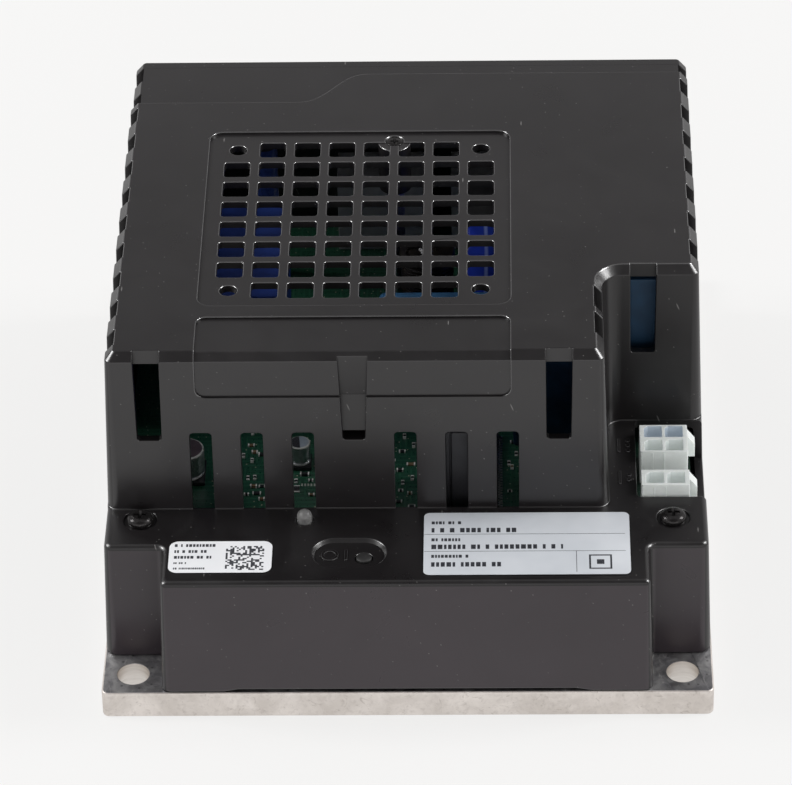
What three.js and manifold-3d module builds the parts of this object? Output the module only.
// Cold-plate variable frequency drive: an aluminium base plate that carries two circuit boards
// under a moulded plastic cover with a fan grille, vent slots and a recessed plug corner.
// Millimetres. X runs to the right, Y runs back from the plate's front edge, Z runs up from the
// plate's underside; the group at the end moves the origin to the middle of the plate's underside.

import * as THREE from "three";
import { mergeVertices } from "three/addons/utils/BufferGeometryUtils.js";
import Module from "manifold-3d";

const wasm = await Module();
wasm.setup();

// ---------------------------------------------------------------- driving dimensions

const GAP = 0.3; // air between pieces that touch on the real drive

const PLATE = { width: 200, length: 245, thick: 10, corner: 2 };
const MOUNT_HOLE = { radius: 5.25, inset: 10 };

const WALL = 2.8;
const DRAFT = Math.tan(THREE.MathUtils.degToRad(1.86));
const SKIRT_Z = PLATE.thick + GAP;
const SHELF_Z = 54.5; // top of the low front shelf
const STRIP_Z = 110.5; // top of the low strip along the back
const TOP_Z = 115.5; // top of the hood
const CHAMFER = 2.7;
const SIDE_X = 99.6; // half width of the cover at plate level
const REAR_Y = 227.3;
const BLOCK = { halfWidth: 80.2, frontY: 0.4, cornerY: 19.6 };
const HOOD = { frontY: 39.2, notchX: 67.7, notchY: 86.3 };

const SLOT_PITCH = 16.6;
const CENTRE_X = -16.6; // middle of the grille, the pocket and the row of slots
const GRILLE = { y: 121, size: 102, corner: 4.5, depth: 1, thick: 2.6 };
const CELLS = { count: 8, span: 82.5, size: 8.7, hole: 2.9 }; // corner holes on a 92 mm fan's pattern
const POCKET = { halfWidth: 50.8, backY: 63.6, bottomZ: 99.3, corner: 3, depth: 0.8 };

const BOARD_Z = 45; // component side of the upper board
const BOARD_THICK = 1.6;
const POWER_BOARD_Z = 28.6; // component side of the lower board
const COVER_SCREW = { x: 87, y: 35 };
const BOARD_SCREW = { x: 87, y: 217 };
const REAR_LUG = { x: 62, halfWidth: 8, screwY: 233.5, backY: 240, top: 14.5 };
const GRILLE_SCREW = { x: CENTRE_X + CELLS.span / 7, y: 167.4 };
const BUTTON = { x: -13.5, y: 15.9, radius: 2.6 };
const LED = { x: CENTRE_X - SLOT_PITCH, y: 34.8, radius: 2.5 };
const X_HEADER = { left: 77, right: 92.8, top: 58.6 };
const OPENING = { left: 75.6, right: 94.6, front: 46.2, back: 87.6, sideZ: 39 };
const TERMINAL = { poles: 4, pitch: 7.62, front: 202, back: 226, height: 31, step: 5, centres: [-10, 30] };

const POWER_BOARD = { halfWidth: 78, front: 50, back: 200, fixX: 73, fixY: [55, 195] };
const MODULES = [
  { name: "inverter", x: -12, y: 105, width: 64, depth: 48 },
  { name: "rectifier", x: -12, y: 160, width: 50, depth: 34 },
];
const STUD = { radius: 1.9, hole: 2.2, depth: 7 }; // M4 threads
const SMALL_STUD = { radius: 1.3, hole: 1.6, depth: 6 }; // M3 threads

// ---------------------------------------------------------------- solids

function solid(geometry) {
  const bare = geometry.index ? geometry.toNonIndexed() : geometry.clone();
  bare.deleteAttribute("normal");
  bare.deleteAttribute("uv");
  const merged = mergeVertices(bare, 1e-4);
  return new wasm.Manifold(
    new wasm.Mesh({
      numProp: 3,
      vertProperties: new Float32Array(merged.attributes.position.array),
      triVerts: new Uint32Array(merged.index.array),
    }),
  );
}

function geometryOf(body) {
  const mesh = body.getMesh();
  const geometry = new THREE.BufferGeometry();
  geometry.setAttribute("position", new THREE.BufferAttribute(mesh.vertProperties, 3));
  geometry.setIndex(new THREE.BufferAttribute(mesh.triVerts, 1));
  geometry.computeVertexNormals();
  return geometry;
}

const bothSides = (x, y) => [[-x, y], [x, y]];
const joined = (bodies) => bodies.reduce((all, body) => all.add(body));
const without = (body, cuts) => cuts.reduce((left, cut) => left.subtract(cut), body);

// A box between two corners.
function block(x0, x1, y0, y1, z0, z1) {
  const geometry = new THREE.BoxGeometry(x1 - x0, y1 - y0, z1 - z0);
  return solid(geometry.translate((x0 + x1) / 2, (y0 + y1) / 2, (z0 + z1) / 2));
}

// An upright cylinder or, with a second radius, a cone.
function post(x, y, z0, z1, radius, steps = 24, topRadius = radius) {
  const geometry = new THREE.CylinderGeometry(topRadius, radius, z1 - z0, steps);
  return solid(geometry.rotateX(Math.PI / 2).translate(x, y, (z0 + z1) / 2));
}

// A solid of revolution about an upright axis, from [radius, z] points listed upwards.
function turned(x, y, profile, steps = 32) {
  const points = profile.map(([radius, z]) => new THREE.Vector2(radius, z));
  return solid(new THREE.LatheGeometry(points, steps).rotateX(Math.PI / 2).translate(x, y, 0));
}

// A flat outline raised between two heights.
function prism(shape, z0, z1, curveSegments = 4) {
  const geometry = new THREE.ExtrudeGeometry(shape, { depth: z1 - z0, bevelEnabled: false, curveSegments });
  return solid(geometry.translate(0, 0, z0));
}

// An outline in the XZ plane, pushed back between two values of Y.
function frontPrism(shape, y0, y1, curveSegments = 4) {
  const geometry = new THREE.ExtrudeGeometry(shape, { depth: y1 - y0, bevelEnabled: false, curveSegments });
  return solid(geometry.rotateX(Math.PI / 2).translate(0, y1, 0));
}

function polygon(points) {
  return new THREE.Shape(points.map(([x, y]) => new THREE.Vector2(x, y)));
}

function roundedRect(x0, x1, y0, y1, radius) {
  const shape = new THREE.Shape();
  shape.moveTo(x0 + radius, y0);
  shape.lineTo(x1 - radius, y0);
  shape.absarc(x1 - radius, y0 + radius, radius, -Math.PI / 2, 0);
  shape.lineTo(x1, y1 - radius);
  shape.absarc(x1 - radius, y1 - radius, radius, 0, Math.PI / 2);
  shape.lineTo(x0 + radius, y1);
  shape.absarc(x0 + radius, y1 - radius, radius, Math.PI / 2, Math.PI);
  shape.lineTo(x0, y0 + radius);
  shape.absarc(x0 + radius, y0 + radius, radius, Math.PI, Math.PI * 1.5);
  return shape;
}

// ---------------------------------------------------------------- drafted walls

// A right-angled plan outline, shrunk by `inset` on every wall and by `bevel` on all but the back.
// Each corner is { x, y, toX, toY, radius, hollow }, where toX and toY point into the cover.
function planOutline(corners, inset, bevel = 0, steps = 4) {
  const places = corners.map((corner) => {
    const bevelY = corner.toY > 0 ? bevel : 0;
    return new THREE.Vector2(corner.x + corner.toX * (inset + bevel), corner.y + corner.toY * inset + bevelY);
  });
  return places.flatMap((place, i) => {
    const last = places[(i + places.length - 1) % places.length];
    const next = places[(i + 1) % places.length];
    const grown = corners[i].radius + (corners[i].hollow ? 1 : -1) * (inset + bevel);
    const radius = Math.max(grown, 0.5);
    const back = last.clone().sub(place).normalize();
    const ahead = next.clone().sub(place).normalize();
    const middle = place.clone().addScaledVector(back, radius).addScaledVector(ahead, radius);
    return Array.from({ length: steps + 1 }, (_, k) => {
      const angle = (k / steps) * (Math.PI / 2);
      return middle
        .clone()
        .addScaledVector(ahead, -radius * Math.cos(angle))
        .addScaledVector(back, -radius * Math.sin(angle));
    });
  });
}

// Joins outlines of equal point count, each at its own height, into one closed solid.
function loft(levels) {
  const count = levels[0].outline.length;
  const positions = levels.flatMap(({ z, outline }) => outline.flatMap((p) => [p.x, p.y, z]));
  const index = [];
  for (let level = 0; level + 1 < levels.length; level++) {
    for (let i = 0; i < count; i++) {
      const a = level * count + i;
      const b = level * count + ((i + 1) % count);
      index.push(a, b, b + count, a, b + count, a + count);
    }
  }
  const top = (levels.length - 1) * count;
  THREE.ShapeUtils.triangulateShape(levels[0].outline, []).forEach(([a, b, c]) => index.push(a, c, b));
  THREE.ShapeUtils.triangulateShape(levels.at(-1).outline, []).forEach(([a, b, c]) =>
    index.push(top + a, top + b, top + c),
  );
  const geometry = new THREE.BufferGeometry();
  geometry.setAttribute("position", new THREE.Float32BufferAttribute(positions, 3));
  geometry.setIndex(index);
  return solid(geometry);
}

const draftInset = (z) => (z - PLATE.thick) * DRAFT;

// Walls that follow a plan outline with draft, ending in a bevel at the top.
function draftedWalls(corners, z0, z1, bevel, extra = 0) {
  const level = (z, edge = 0) => ({ z, outline: planOutline(corners, draftInset(z) + extra, edge) });
  return loft([level(z0), level(z1 - bevel), level(z1, bevel)]);
}

const REAR_CORNERS = [
  { x: SIDE_X, y: REAR_Y, toX: -1, toY: -1, radius: 3 },
  { x: -SIDE_X, y: REAR_Y, toX: 1, toY: -1, radius: 3 },
];

const LOW_CORNERS = [
  { x: -BLOCK.halfWidth, y: BLOCK.frontY, toX: 1, toY: 1, radius: 3 },
  { x: BLOCK.halfWidth, y: BLOCK.frontY, toX: -1, toY: 1, radius: 3 },
  { x: BLOCK.halfWidth, y: BLOCK.cornerY, toX: -1, toY: 1, radius: 1, hollow: true },
  { x: SIDE_X, y: BLOCK.cornerY, toX: -1, toY: 1, radius: 4 },
  ...REAR_CORNERS,
  { x: -SIDE_X, y: BLOCK.cornerY, toX: 1, toY: 1, radius: 4 },
  { x: -BLOCK.halfWidth, y: BLOCK.cornerY, toX: 1, toY: 1, radius: 1, hollow: true },
];

const HOOD_CORNERS = [
  { x: -SIDE_X, y: HOOD.frontY, toX: 1, toY: 1, radius: 5.5 },
  { x: HOOD.notchX, y: HOOD.frontY, toX: -1, toY: 1, radius: 5.5 },
  { x: HOOD.notchX, y: HOOD.notchY, toX: -1, toY: 1, radius: 1, hollow: true },
  { x: SIDE_X, y: HOOD.notchY, toX: -1, toY: 1, radius: 5.5 },
  ...REAR_CORNERS,
];

// Everything behind the S-shaped step in the hood's top, above a given height.
function behindStep(z0, forward = 0) {
  const shape = new THREE.Shape();
  const leftY = 190.6 - forward;
  const rightY = 208.1 - forward;
  shape.moveTo(-120, leftY);
  shape.lineTo(-37.8, leftY);
  shape.bezierCurveTo(-28, leftY, -25, rightY, -15.1, rightY);
  shape.lineTo(120, rightY);
  shape.lineTo(120, 260);
  shape.lineTo(-120, 260);
  return prism(shape, z0, 130, 10);
}

// The hood's outside or, with `extra`, the surface at that depth inside it.
function hoodForm(fromZ, extra) {
  const bevel = CHAMFER - extra * 0.4;
  const tall = draftedWalls(HOOD_CORNERS, fromZ, TOP_Z - extra, bevel, extra);
  const low = draftedWalls(HOOD_CORNERS, fromZ, STRIP_Z - extra, bevel, extra);
  return tall.subtract(behindStep(STRIP_Z - extra - 6, extra)).add(low);
}

// ---------------------------------------------------------------- cover

const GRILLE_Z = TOP_Z - GRILLE.depth;
const lastCell = CELLS.count - 1;
const grilleRow = Array.from({ length: CELLS.count }, (_, i) => (i / lastCell - 0.5) * CELLS.span);

// The cells of the grille, with a round fan-screw hole in place of each corner cell.
function grilleHoles() {
  const half = CELLS.size / 2;
  const low = GRILLE_Z - GRILLE.thick - 2;
  return grilleRow.flatMap((dx, column) =>
    grilleRow.map((dy, row) => {
      const x = CENTRE_X + dx;
      const y = GRILLE.y + dy;
      const atCorner = column % lastCell === 0 && row % lastCell === 0;
      if (atCorner) return post(x, y, low, TOP_Z + 1, CELLS.hole, 16);
      return prism(roundedRect(x - half, x + half, y - half, y + half, 1.1), low, TOP_Z + 1, 1);
    }),
  );
}

// Upright vent slots in the front walls. Each runs in from the open air to just inside the wall, and
// the short ones also drop through the shelf's back edge so that they end at the wall's foot.
function frontSlots() {
  const tall = (x, y) => {
    const [top, bottom] = [4.3, 3.95];
    const shape = polygon([
      [x - bottom + 0.9, 82],
      [x + bottom - 0.9, 82],
      [x + bottom, 82.9],
      [x + top, TOP_Z + 1],
      [x - top, TOP_Z + 1],
      [x - bottom, 82.9],
    ]);
    return frontPrism(shape, y - 1, y + 6.2);
  };
  const short = (x) => {
    const foot = block(x - 3.6, x + 3.6, 41.2, 50, 50, SHELF_Z + 3);
    return frontPrism(roundedRect(x - 3.6, x + 3.6, SHELF_Z + 0.2, 84.8, 1.3), 38, 50, 2).add(foot);
  };
  const low = [-3, -2, -1, 1, 2, 3].map((step) => short(CENTRE_X + step * SLOT_PITCH));
  const sideSlots = [-4, 4].map((step) => tall(CENTRE_X + step * SLOT_PITCH, HOOD.frontY));
  return [...low, ...sideSlots, tall(78, HOOD.notchY)];
}

// Vent slots down the two sides and down the wall of the plug corner.
function sideSlots() {
  const length = 8.2;
  const centres = Array.from({ length: 11 }, (_, i) => 52.9 + i * 16.32);
  const low = 82;
  const left = centres.map((y) => block(-104, -93.5, y - length / 2, y + length / 2, low, TOP_Z + 1));
  const right = centres
    .filter((y) => y > HOOD.notchY + 10)
    .map((y) => block(93.5, 104, y - length / 2, y + length / 2, low, TOP_Z + 1));
  const inner = [59.8, 74.4].map((y) => block(61.5, 70, y - 5.7, y + 5.7, low, TOP_Z + 1));
  return [...left, ...right, ...inner];
}

// The catch below the pocket: a tapered channel with a leaning back face and a deeper, closed foot.
function catchChannel() {
  const outline = polygon([
    [CENTRE_X - 3.1, 82],
    [CENTRE_X + 3.1, 82],
    [CENTRE_X + 3.6, 83],
    [CENTRE_X + 4.85, TOP_Z + 1],
    [CENTRE_X - 4.85, TOP_Z + 1],
    [CENTRE_X - 3.6, 83],
  ]);
  const back = new THREE.Shape();
  back.moveTo(34, 80);
  back.lineTo(49.5, 80);
  back.lineTo(49.5, 87);
  back.lineTo(45.9, 87);
  back.lineTo(44.1, 101);
  back.lineTo(44.4, TOP_Z + 1);
  back.lineTo(34, TOP_Z + 1);
  const side = new THREE.ExtrudeGeometry(back, { depth: 20, bevelEnabled: false });
  // Stands the YZ outline upright and spreads it along X.
  side.applyMatrix4(new THREE.Matrix4().makeBasis(
    new THREE.Vector3(0, 1, 0),
    new THREE.Vector3(0, 0, 1),
    new THREE.Vector3(1, 0, 0),
  ));
  return frontPrism(outline, 34, 50).intersect(solid(side.translate(CENTRE_X - 10, 0, 0)));
}

// The shallow pocket that wraps over the hood's front edge.
function pocket(outside) {
  const left = CENTRE_X - POCKET.halfWidth;
  const right = CENTRE_X + POCKET.halfWidth;
  const fromAbove = prism(roundedRect(left, right, 20, POCKET.backY, POCKET.corner), 80, 130);
  const fromFront = frontPrism(roundedRect(left, right, POCKET.bottomZ, 140, POCKET.corner), 10, 80);
  return fromAbove.intersect(fromFront).subtract(outside);
}

function buttonRecess() {
  const shape = roundedRect(-30.5, -6.1, 9.9, 24.9, 7.4);
  return prism(shape, SHELF_Z - 1.5, SHELF_Z + 1, 6);
}

// The opening round both plug headers, which also cuts down the side wall beside them.
function plugOpening() {
  const down = prism(roundedRect(OPENING.left, OPENING.right, OPENING.front, OPENING.back, 1.5), 49, 56);
  const side = block(OPENING.right - 2, 104, OPENING.front, OPENING.back, OPENING.sideZ, 56);
  return down.add(side);
}

const grilleOutline = roundedRect(
  CENTRE_X - GRILLE.size / 2, CENTRE_X + GRILLE.size / 2,
  GRILLE.y - GRILLE.size / 2, GRILLE.y + GRILLE.size / 2,
  GRILLE.corner,
);

const terminalHalf = (TERMINAL.poles * TERMINAL.pitch) / 2 + 1;

function coverBody() {
  const lowOutside = draftedWalls(LOW_CORNERS, SKIRT_Z, SHELF_Z, 1.2);
  const outside = lowOutside.add(hoodForm(SHELF_Z - 2, 0));
  const lowInside = draftedWalls(LOW_CORNERS, SKIRT_Z - 5, SHELF_Z - WALL, 0.8, WALL);
  const inside = lowInside.add(hoodForm(SHELF_Z - WALL - 2, WALL));

  const grillePad = prism(grilleOutline, GRILLE_Z - GRILLE.thick, TOP_Z - 1);
  const catchBacking = block(CENTRE_X - 8, CENTRE_X + 8, 42, 51.5, 79, TOP_Z - 2);
  const buttonPad = block(-32, -4.5, 8.5, 26.5, SHELF_Z - 3.5, SHELF_Z - 2);
  const screwBosses = bothSides(COVER_SCREW.x, COVER_SCREW.y).map(([x, y]) =>
    post(x, y, BOARD_Z + GAP, SHELF_Z - 1, 4.5),
  );
  const plugRib = block(94.4, SIDE_X, OPENING.back, OPENING.back + 2.5, OPENING.sideZ - 1, SHELF_Z - 1);
  const grilleBoss = post(GRILLE_SCREW.x, GRILLE_SCREW.y, 96, GRILLE_Z, 5.5);
  const kept = joined([grillePad, catchBacking, buttonPad, plugRib, ...screwBosses, grilleBoss]);
  const lugs = bothSides(REAR_LUG.x, 0).map(([x]) =>
    block(x - REAR_LUG.halfWidth, x + REAR_LUG.halfWidth, 225, REAR_LUG.backY, SKIRT_Z, REAR_LUG.top),
  );
  const shell = joined([outside.subtract(inside.subtract(kept)), ...lugs]);
  const pocketFloor = draftedWalls(HOOD_CORNERS, 60, TOP_Z - POCKET.depth, CHAMFER - 0.33, POCKET.depth);
  const frontHoles = bothSides(COVER_SCREW.x, COVER_SCREW.y).flatMap(([x, y]) => [
    post(x, y, 40, 60, 2.3, 16),
    post(x, y, SHELF_Z - 0.6, SHELF_Z + 3.4, 5.4),
  ]);
  const lugHoles = bothSides(REAR_LUG.x, REAR_LUG.screwY).map(([x, y]) => post(x, y, 8, 20, 2.3, 16));
  const grilleScrewHole = turned(GRILLE_SCREW.x, GRILLE_SCREW.y, [
    [0, 90], [1.8, 90], [1.8, GRILLE_Z - 1.5], [3.3, GRILLE_Z], [3.3, GRILLE_Z + 1], [0, GRILLE_Z + 1],
  ], 24);
  const terminalMouths = TERMINAL.centres.map((x) => {
    const half = terminalHalf + 0.6;
    return block(x - half, x + half, 218.5, 232, BOARD_Z - 0.5, BOARD_Z + TERMINAL.height - TERMINAL.step + 0.9);
  });
  const cuts = [
    prism(grilleOutline, GRILLE_Z, TOP_Z + 1),
    ...grilleHoles().map((hole) => hole.subtract(post(GRILLE_SCREW.x, GRILLE_SCREW.y, 90, 120, 5.5))),
    grilleScrewHole,
    pocket(pocketFloor),
    catchChannel(),
    ...frontSlots(),
    ...sideSlots(),
    buttonRecess(),
    post(BUTTON.x, BUTTON.y, 48, SHELF_Z, BUTTON.radius + GAP, 24),
    post(LED.x, LED.y, 48, SHELF_Z + 1, LED.radius + 0.35, 24),
    plugOpening(),
    ...frontHoles,
    ...lugHoles,
    ...terminalMouths,
    block(-57, 57, -2, 6, SKIRT_Z - 1, SKIRT_Z + 0.9),
  ];
  return without(shell, cuts);
}

// ---------------------------------------------------------------- plate and boards

const pillarPlaces = [...bothSides(COVER_SCREW.x, COVER_SCREW.y), ...bothSides(BOARD_SCREW.x, BOARD_SCREW.y)];
const lugPlaces = bothSides(REAR_LUG.x, REAR_LUG.screwY);
const standoffPlaces = POWER_BOARD.fixY.flatMap((y) => bothSides(POWER_BOARD.fixX, y));
const modulePlaces = MODULES.flatMap(({ x, y, width }) =>
  [-1, 1].map((side) => [x + side * (width / 2 + 4.6), y]),
);

function plateBody() {
  const { width, length, thick, corner } = PLATE;
  const edge = 0.5;
  const half = width / 2;
  const level = (z, inset) => {
    const outline = roundedRect(-half + inset, half - inset, inset, length - inset, corner).getPoints(4);
    return { z, outline: outline.slice(0, -1) };
  };
  const body = loft([level(0, edge), level(edge, 0), level(thick - edge, 0), level(thick, edge)]);
  const { radius, inset } = MOUNT_HOLE;
  const mountHoles = [inset, length - inset].flatMap((y) => bothSides(half - inset, y));
  const threads = [...pillarPlaces, ...lugPlaces];
  const smallThreads = [...standoffPlaces, ...modulePlaces];
  return without(body, [
    ...mountHoles.map(([x, y]) => post(x, y, -1, thick + 1, radius, 28)),
    ...threads.map(([x, y]) => post(x, y, thick - STUD.depth - 1, thick + 1, STUD.hole, 12)),
    ...smallThreads.map(([x, y]) => post(x, y, thick - SMALL_STUD.depth - 1, thick + 1, SMALL_STUD.hole, 8)),
  ]);
}

const HEADERS = [
  { name: "x3", front: 65.1, back: 79.8, rows: 2, latch: 76.2 },
  { name: "x4", front: 46.9, back: 55.4, rows: 1, latch: 53.2 },
];
const CELL = { x: [81.45, 88.35], half: 2.95, key: 1.3 };
const LATCH = 2.6; // how far the latch ramps stick out
const PIN_HALF = 1.05;

const cellRows = ({ front, back, rows }) =>
  Array.from({ length: rows }, (_, row) => front + ((back - front) * (row + 0.5)) / rows);
const pinPlaces = (header) => cellRows(header).flatMap((y) => CELL.x.map((x) => [x, y]));

function mainBoardBody() {
  const outline = polygon([
    [-74.5, 6], [74.5, 6], [74.5, 24], [94, 24], [94, 220], [-94, 220], [-94, 24], [-74.5, 24],
  ]);
  const z0 = BOARD_Z - BOARD_THICK;
  const screwPlaces = [...pillarPlaces, [GRILLE_SCREW.x, GRILLE_SCREW.y]];
  const half = PIN_HALF + GAP;
  return without(prism(outline, z0, BOARD_Z), [
    ...screwPlaces.map(([x, y]) => post(x, y, z0 - 1, BOARD_Z + 1, 2.3, 12)),
    ...HEADERS.flatMap(pinPlaces).map(([x, y]) =>
      block(x - half, x + half, y - half, y + half, z0 - 1, BOARD_Z + 1),
    ),
  ]);
}

function powerBoardBody() {
  const { halfWidth, front, back } = POWER_BOARD;
  const z0 = POWER_BOARD_Z - BOARD_THICK;
  const board = block(-halfWidth, halfWidth, front, back, z0, POWER_BOARD_Z);
  return without(board, standoffPlaces.map(([x, y]) => post(x, y, z0 - 1, POWER_BOARD_Z + 1, 1.7, 12)));
}

// ---------------------------------------------------------------- pillars and screws

// A six-sided pillar with a threaded hole in its top and a stud below its foot.
function pillar([x, y], z0, z1, acrossFlats, holeDepth, stud) {
  const body = post(x, y, z0, z1, acrossFlats / Math.sqrt(3), 6).add(
    post(x, y, z0 - stud.depth, z0 + 1, stud.radius, 12),
  );
  return body.subtract(post(x, y, z1 - holeDepth, z1 + 1, stud.hole, 12));
}

// The cross recess in a screw head.
function crossRecess(x, y, half, thin, z0, z1) {
  const across = block(x - half, x + half, y - thin, y + thin, z0, z1);
  return across.add(block(x - thin, x + thin, y - half, y + half, z0, z1));
}

// A pan-head screw whose head stands on `seatZ`.
function panScrew([x, y], seatZ, length, thread, head, steps = 12) {
  const tip = seatZ - length;
  const crownSteps = [[1, 0], [1, 0.26], [0.84, 0.5], [0.5, 0.64], [0, 0.69]];
  const crown = crownSteps.map(([r, z]) => [r * head, seatZ + z * head]);
  const shank = [[0, tip], [thread * 0.7, tip], [thread, tip + thread * 0.5], [thread, seatZ]];
  const body = turned(x, y, [...shank, ...crown], steps);
  return body.subtract(crossRecess(x, y, head * 0.5, head * 0.13, seatZ + head * 0.2, seatZ + head));
}

// A countersunk screw with its head flush at `topZ`.
function flushScrew([x, y], topZ, length, thread, head) {
  const tip = topZ - length;
  const body = turned(x, y, [
    [0, tip], [thread * 0.7, tip], [thread, tip + thread * 0.5], [thread, topZ - (head - thread)],
    [head, topZ - 0.15], [head, topZ], [0, topZ],
  ], 20);
  return body.subtract(crossRecess(x, y, head * 0.5, head * 0.16, topZ - head * 0.5, topZ + 1));
}

// ---------------------------------------------------------------- plugs, button, lamp, terminals

// An open-topped header: square cells with one bevelled corner each and a latch ramp on its right side.
function headerBody(header) {
  const { left, right, top } = X_HEADER;
  const base = BOARD_Z + GAP;
  const ramp = polygon([
    [right - 0.5, top - 0.6], [right - 0.5, top - 9], [right + LATCH, top - 9], [right + LATCH, top - 4],
    [right, top - 0.6],
  ]);
  const body = block(left, right, header.front, header.back, base, top).add(
    frontPrism(ramp, header.latch - 2.1, header.latch + 2.1),
  );
  const { half, key } = CELL;
  const hole = PIN_HALF + GAP;
  const cuts = pinPlaces(header).flatMap(([x, y]) => [
    prism(
      polygon([
        [x - half, y - half], [x + half, y - half], [x + half, y + half],
        [x - half + key, y + half], [x - half, y + half - key],
      ]),
      base + 2.4, top + 1,
    ),
    block(x - hole, x + hole, y - hole, y + hole, base - 1, base + 3),
  ]);
  return without(body, cuts);
}

// A square pin that passes down through the board and ends in a blunt point.
function pinBody([x, y]) {
  const top = X_HEADER.top - 3.4;
  const foot = BOARD_Z - BOARD_THICK - 1.2;
  const shaft = block(x - PIN_HALF, x + PIN_HALF, y - PIN_HALF, y + PIN_HALF, foot, top - 0.8);
  const point = new THREE.CylinderGeometry(PIN_HALF * 0.9, PIN_HALF * Math.SQRT2, 0.8, 4);
  point.rotateX(Math.PI / 2).rotateZ(Math.PI / 4).translate(x, y, top - 0.4);
  return shaft.add(solid(point));
}

const BUTTON_TOP_Z = SHELF_Z - 0.5;

function buttonBody() {
  const { x, y, radius } = BUTTON;
  return turned(x, y, [
    [0, 49.4], [3.6, 49.4], [3.6, 50.5], [radius, 50.5], [radius, BUTTON_TOP_Z - 0.5],
    [radius - 0.5, BUTTON_TOP_Z], [0, BUTTON_TOP_Z + 0.1],
  ], 24);
}

function switchBody() {
  const { x, y } = BUTTON;
  const base = BOARD_Z + GAP;
  return block(x - 3, x + 3, y - 3, y + 3, base, base + 2.4).add(post(x, y, base + 2, base + 3, 1.7, 16));
}

function ledBody() {
  const { x, y, radius } = LED;
  const base = BOARD_Z + 2;
  const domeZ = SHELF_Z + 1.4;
  const dome = Array.from({ length: 5 }, (_, i) => {
    const angle = (i / 4) * (Math.PI / 2);
    return [radius * Math.cos(angle), domeZ + radius * Math.sin(angle)];
  });
  dome[4][0] = 0;
  const lens = turned(x, y, [[0, base], [2.75, base], [2.75, base + 1], [radius, base + 1], ...dome], 20);
  const legs = [x - 1.27, x + 1.27].map((legX) =>
    block(legX - 0.25, legX + 0.25, y - 0.25, y + 0.25, BOARD_Z + GAP, base + 0.5),
  );
  return joined([lens, ...legs]);
}

// A push-in terminal strip with a wire entry and a release slot for each pole, facing the rear.
function terminalBody(x) {
  const { poles, pitch, front, back, height, step } = TERMINAL;
  const base = BOARD_Z + GAP;
  const [left, right] = [x - terminalHalf, x + terminalHalf];
  const body = block(left, right, front, back, base, base + height - step).add(
    block(left, right, front, back - 8, base + height - step - 1, base + height),
  );
  const poleRow = Array.from({ length: poles }, (_, i) => x + (i - (poles - 1) / 2) * pitch);
  const entries = poleRow.flatMap((poleX) => [
    block(poleX - 2.7, poleX + 2.7, back - 14, back + 1, base + 3, base + 9),
    block(poleX - 1.6, poleX + 1.6, back - 11, back + 1, base + 11.5, base + 14),
  ]);
  return without(body, entries);
}

// ---------------------------------------------------------------- electronics

// A snap-in electrolytic capacitor with a rolled groove near its foot.
function canCapacitor([x, y], radius, height) {
  const base = BOARD_Z + GAP;
  const top = base + height;
  return turned(x, y, [
    [0, base], [radius, base], [radius, base + 4], [radius - 0.9, base + 5], [radius, base + 6],
    [radius, top - 1], [radius - 1, top], [radius - 2.2, top - 0.5], [0, top - 0.5],
  ], 28);
}

// A surface-mount can: a square foot with two cut corners under a round can.
function chipCan([x, y], radius, height) {
  const base = BOARD_Z + GAP;
  const foot = radius + 0.2;
  const footShape = polygon([
    [x - foot, y - foot + 1], [x - foot + 1, y - foot], [x + foot, y - foot],
    [x + foot, y + foot], [x - foot + 1, y + foot], [x - foot, y + foot - 1],
  ]);
  const top = base + height;
  const can = turned(x, y, [
    [0, base + 1], [radius, base + 1], [radius, top - 0.4], [radius - 0.4, top], [0, top],
  ], 24);
  return prism(footShape, base, base + 1.3).add(can);
}

function boxedPart([x0, x1], [y0, y1], height) {
  const base = BOARD_Z + GAP;
  return block(x0, x1, y0, y1, base, base + height);
}

// A drum choke: wire wound between two flanges.
function chokeBody([x, y], height) {
  const base = BOARD_Z + GAP;
  const top = base + height;
  return turned(x, y, [
    [0, base], [9.5, base], [9.5, base + 2.5], [8.4, base + 3.5], [8.4, top - 3.5], [9.5, top - 2.5],
    [9.5, top], [3, top], [2.6, top - 1.5], [0, top - 1.5],
  ], 28);
}

const MODULE_BASE_Z = PLATE.thick + GAP + 0.5 + GAP;

// A power semiconductor module with a drilled fixing ear at each end.
function moduleBody({ x, y, width, depth }) {
  const top = POWER_BOARD_Z - BOARD_THICK - GAP;
  const body = block(x - width / 2, x + width / 2, y - depth / 2, y + depth / 2, MODULE_BASE_Z, top).add(
    block(x - width / 2 - 9, x + width / 2 + 9, y - 9, y + 9, MODULE_BASE_Z, MODULE_BASE_Z + 4),
  );
  const ears = [-1, 1].map((side) => post(x + side * (width / 2 + 4.6), y, 8, 20, 1.7, 12));
  return without(body, ears);
}

function padBody({ x, y, width, depth }) {
  const z0 = PLATE.thick + GAP;
  return block(x - width / 2 + 1, x + width / 2 - 1, y - depth / 2 + 1, y + depth / 2 - 1, z0, z0 + 0.5);
}

function transformerBody(x, y) {
  const base = BOARD_Z + GAP;
  const core = block(x - 12, x + 12, y - 7, y + 7, base + 2, base + 20);
  return core.add(block(x - 9, x + 9, y - 10, y + 10, base, base + 18));
}

function labelBody(x0, x1, y0, y1, corner, thick) {
  const z0 = SHELF_Z + GAP;
  return prism(roundedRect(x0, x1, y0, y1, corner), z0, z0 + thick);
}

// ---------------------------------------------------------------- assembly

function paint(color, roughness, metalness = 0) {
  return new THREE.MeshStandardMaterial({ color, roughness, metalness });
}

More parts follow.
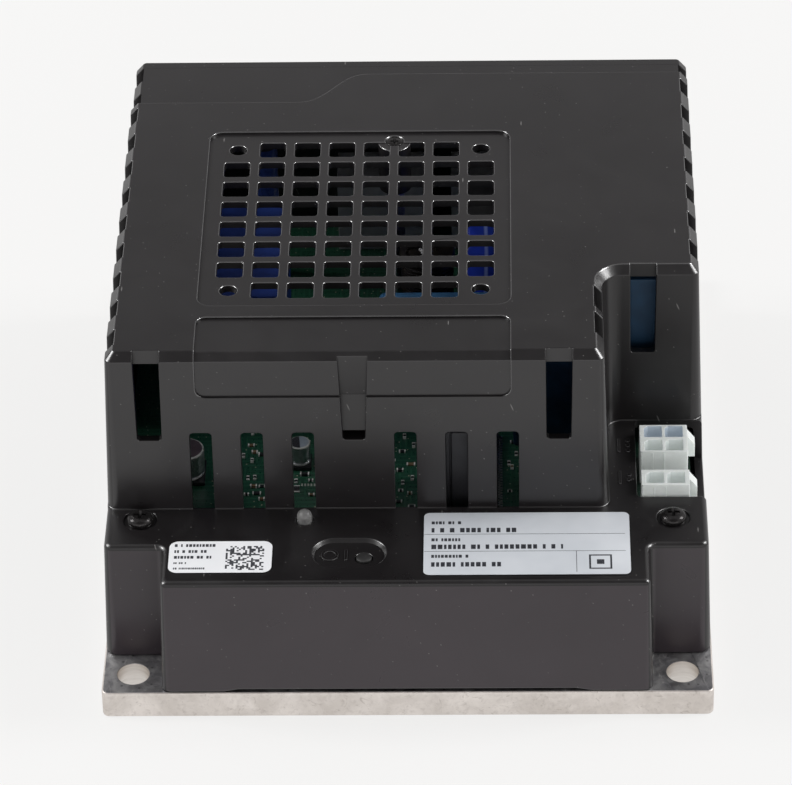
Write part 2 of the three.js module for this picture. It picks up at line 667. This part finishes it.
const materials = {
  aluminium: paint(0xb4b2ae, 0.45, 1),
  blackPlastic: paint(0x2b2a2c, 0.42),
  blackScrew: paint(0x1c1c1e, 0.35, 1),
  steel: paint(0xb9bbbe, 0.3, 1),
  board: paint(0x14452c, 0.45),
  nylon: paint(0xd8dcd6, 0.5),
  tin: paint(0xc8c9c6, 0.3, 1),
  lens: paint(0xc9c8c4, 0.3),
  button: paint(0x343336, 0.5),
  blueSleeve: paint(0x16297a, 0.3),
  filmBlue: paint(0x2d5a86, 0.4),
  navyBox: paint(0x131f4d, 0.45),
  darkPart: paint(0x202124, 0.5),
  silverCan: paint(0xb5b8bc, 0.3, 1),
  copper: paint(0x7a4322, 0.4, 1),
  pad: paint(0x8f9a9c, 0.8),
  whiteLabel: paint(0xeceef0, 0.5),
  silverLabel: paint(0xb3bac2, 0.4),
  terminal: paint(0x3a3f42, 0.5),
};

const drive = new THREE.Group();
drive.position.y = -PLATE.length / 2;

function place(name, body, material) {
  const mesh = new THREE.Mesh(geometryOf(body), material);
  mesh.name = name;
  drive.add(mesh);
}

function placeEach(names, places, make, material) {
  names.forEach((name, i) => place(name, make(places[i]), material));
}

const numbered = (name, count) => Array.from({ length: count }, (_, i) => `${name}_${i + 1}`);
const handed = (name) => [`${name}_left`, `${name}_right`];

place("cold_plate", plateBody(), materials.aluminium);
place("cover", coverBody(), materials.blackPlastic);
place("main_board", mainBoardBody(), materials.board);
place("power_board", powerBoardBody(), materials.board);

const plateTop = PLATE.thick + GAP;
const mainPillar = (at) => pillar(at, plateTop, BOARD_Z - BOARD_THICK - GAP, 8, 14, STUD);
const powerPillar = (at) => pillar(at, plateTop, POWER_BOARD_Z - BOARD_THICK - GAP, 6, 8, SMALL_STUD);
placeEach(numbered("main_board_pillar", 4), pillarPlaces, mainPillar, materials.steel);
placeEach(numbered("power_board_pillar", 4), standoffPlaces, powerPillar, materials.steel);
placeEach(
  handed("cover_screw_front"), pillarPlaces,
  (at) => panScrew(at, SHELF_Z - 0.6 + GAP, 20, STUD.radius, 4.3, 24), materials.blackScrew,
);
placeEach(
  handed("cover_screw_rear"), lugPlaces,
  (at) => panScrew(at, REAR_LUG.top + GAP, 10.5, STUD.radius, 4.1, 16), materials.blackScrew,
);
placeEach(
  handed("main_board_screw"), pillarPlaces.slice(2),
  (at) => panScrew(at, BOARD_Z + GAP, 10, STUD.radius, 3.8), materials.steel,
);
placeEach(
  numbered("power_board_screw", 4), standoffPlaces,
  (at) => panScrew(at, POWER_BOARD_Z + GAP, 7, SMALL_STUD.radius, 2.8), materials.steel,
);
placeEach(
  [...handed("inverter_screw"), ...handed("rectifier_screw")], modulePlaces,
  (at) => panScrew(at, MODULE_BASE_Z + 4 + GAP, 10, SMALL_STUD.radius, 2.8), materials.steel,
);

const grillePlace = [GRILLE_SCREW.x, GRILLE_SCREW.y];
const grilleStud = { ...STUD, depth: 3 };
place("grille_pillar", pillar(grillePlace, BOARD_Z + GAP, 96 - GAP, 6, 12, grilleStud), materials.steel);
place("grille_screw", flushScrew(grillePlace, GRILLE_Z - 0.1, 25, 1.5, 2.9), materials.blackScrew);

HEADERS.forEach((header) => {
  const pins = pinPlaces(header);
  place(`${header.name}_header`, headerBody(header), materials.nylon);
  placeEach(numbered(`${header.name}_pin`, pins.length), pins, pinBody, materials.tin);
});

place("s1_button", buttonBody(), materials.button);
place("s1_switch", switchBody(), materials.darkPart);
place("status_led", ledBody(), materials.lens);
placeEach(["line_terminal", "motor_terminal"], TERMINAL.centres, terminalBody, materials.terminal);

MODULES.forEach((module) => {
  place(`${module.name}_module`, moduleBody(module), materials.darkPart);
  place(`${module.name}_thermal_pad`, padBody(module), materials.pad);
});

placeEach(
  numbered("dc_link_capacitor", 2), [[32, 150], [70, 162]],
  (at) => canCapacitor(at, 15, 56.5), materials.blueSleeve,
);
place("supply_capacitor", canCapacitor([-50.7, 186], 4.7, 57), materials.blueSleeve);
place("dc_link_film_capacitor", boxedPart([-78, -41], [97, 150], 54.5), materials.navyBox);
place("filter_capacitor_1", boxedPart([-9.8, 29.6], [98, 124], 36.7), materials.filmBlue);
place("filter_capacitor_2", boxedPart([69, 90.5], [96, 130], 61), materials.filmBlue);
place("filter_capacitor_3", boxedPart([35, 61], [86, 112], 50), materials.filmBlue);
place("filter_choke", chokeBody([6, 150], 36), materials.copper);
place("supply_transformer", transformerBody(-24, 112), materials.darkPart);
place("board_link", boxedPart([12.9, 20.2], [48.3, 70], 34), materials.darkPart);
place("interface_chip", boxedPart([22.5, 29.9], [49, 92], 3.4), materials.darkPart);
place("signal_capacitor_1", chipCan([-73.8, 71.4], 6, 10.9), materials.silverCan);
place("signal_capacitor_2", chipCan([-36.2, 77.1], 3.6, 9), materials.silverCan);

place("serial_label", labelBody(-76.6, -43.2, 6.9, 23.1, 3, 0.15), materials.whiteLabel);
place("rating_label", labelBody(5.8, 72.6, 5.2, 37.4, 2, 0.2), materials.silverLabel);

export default drive;
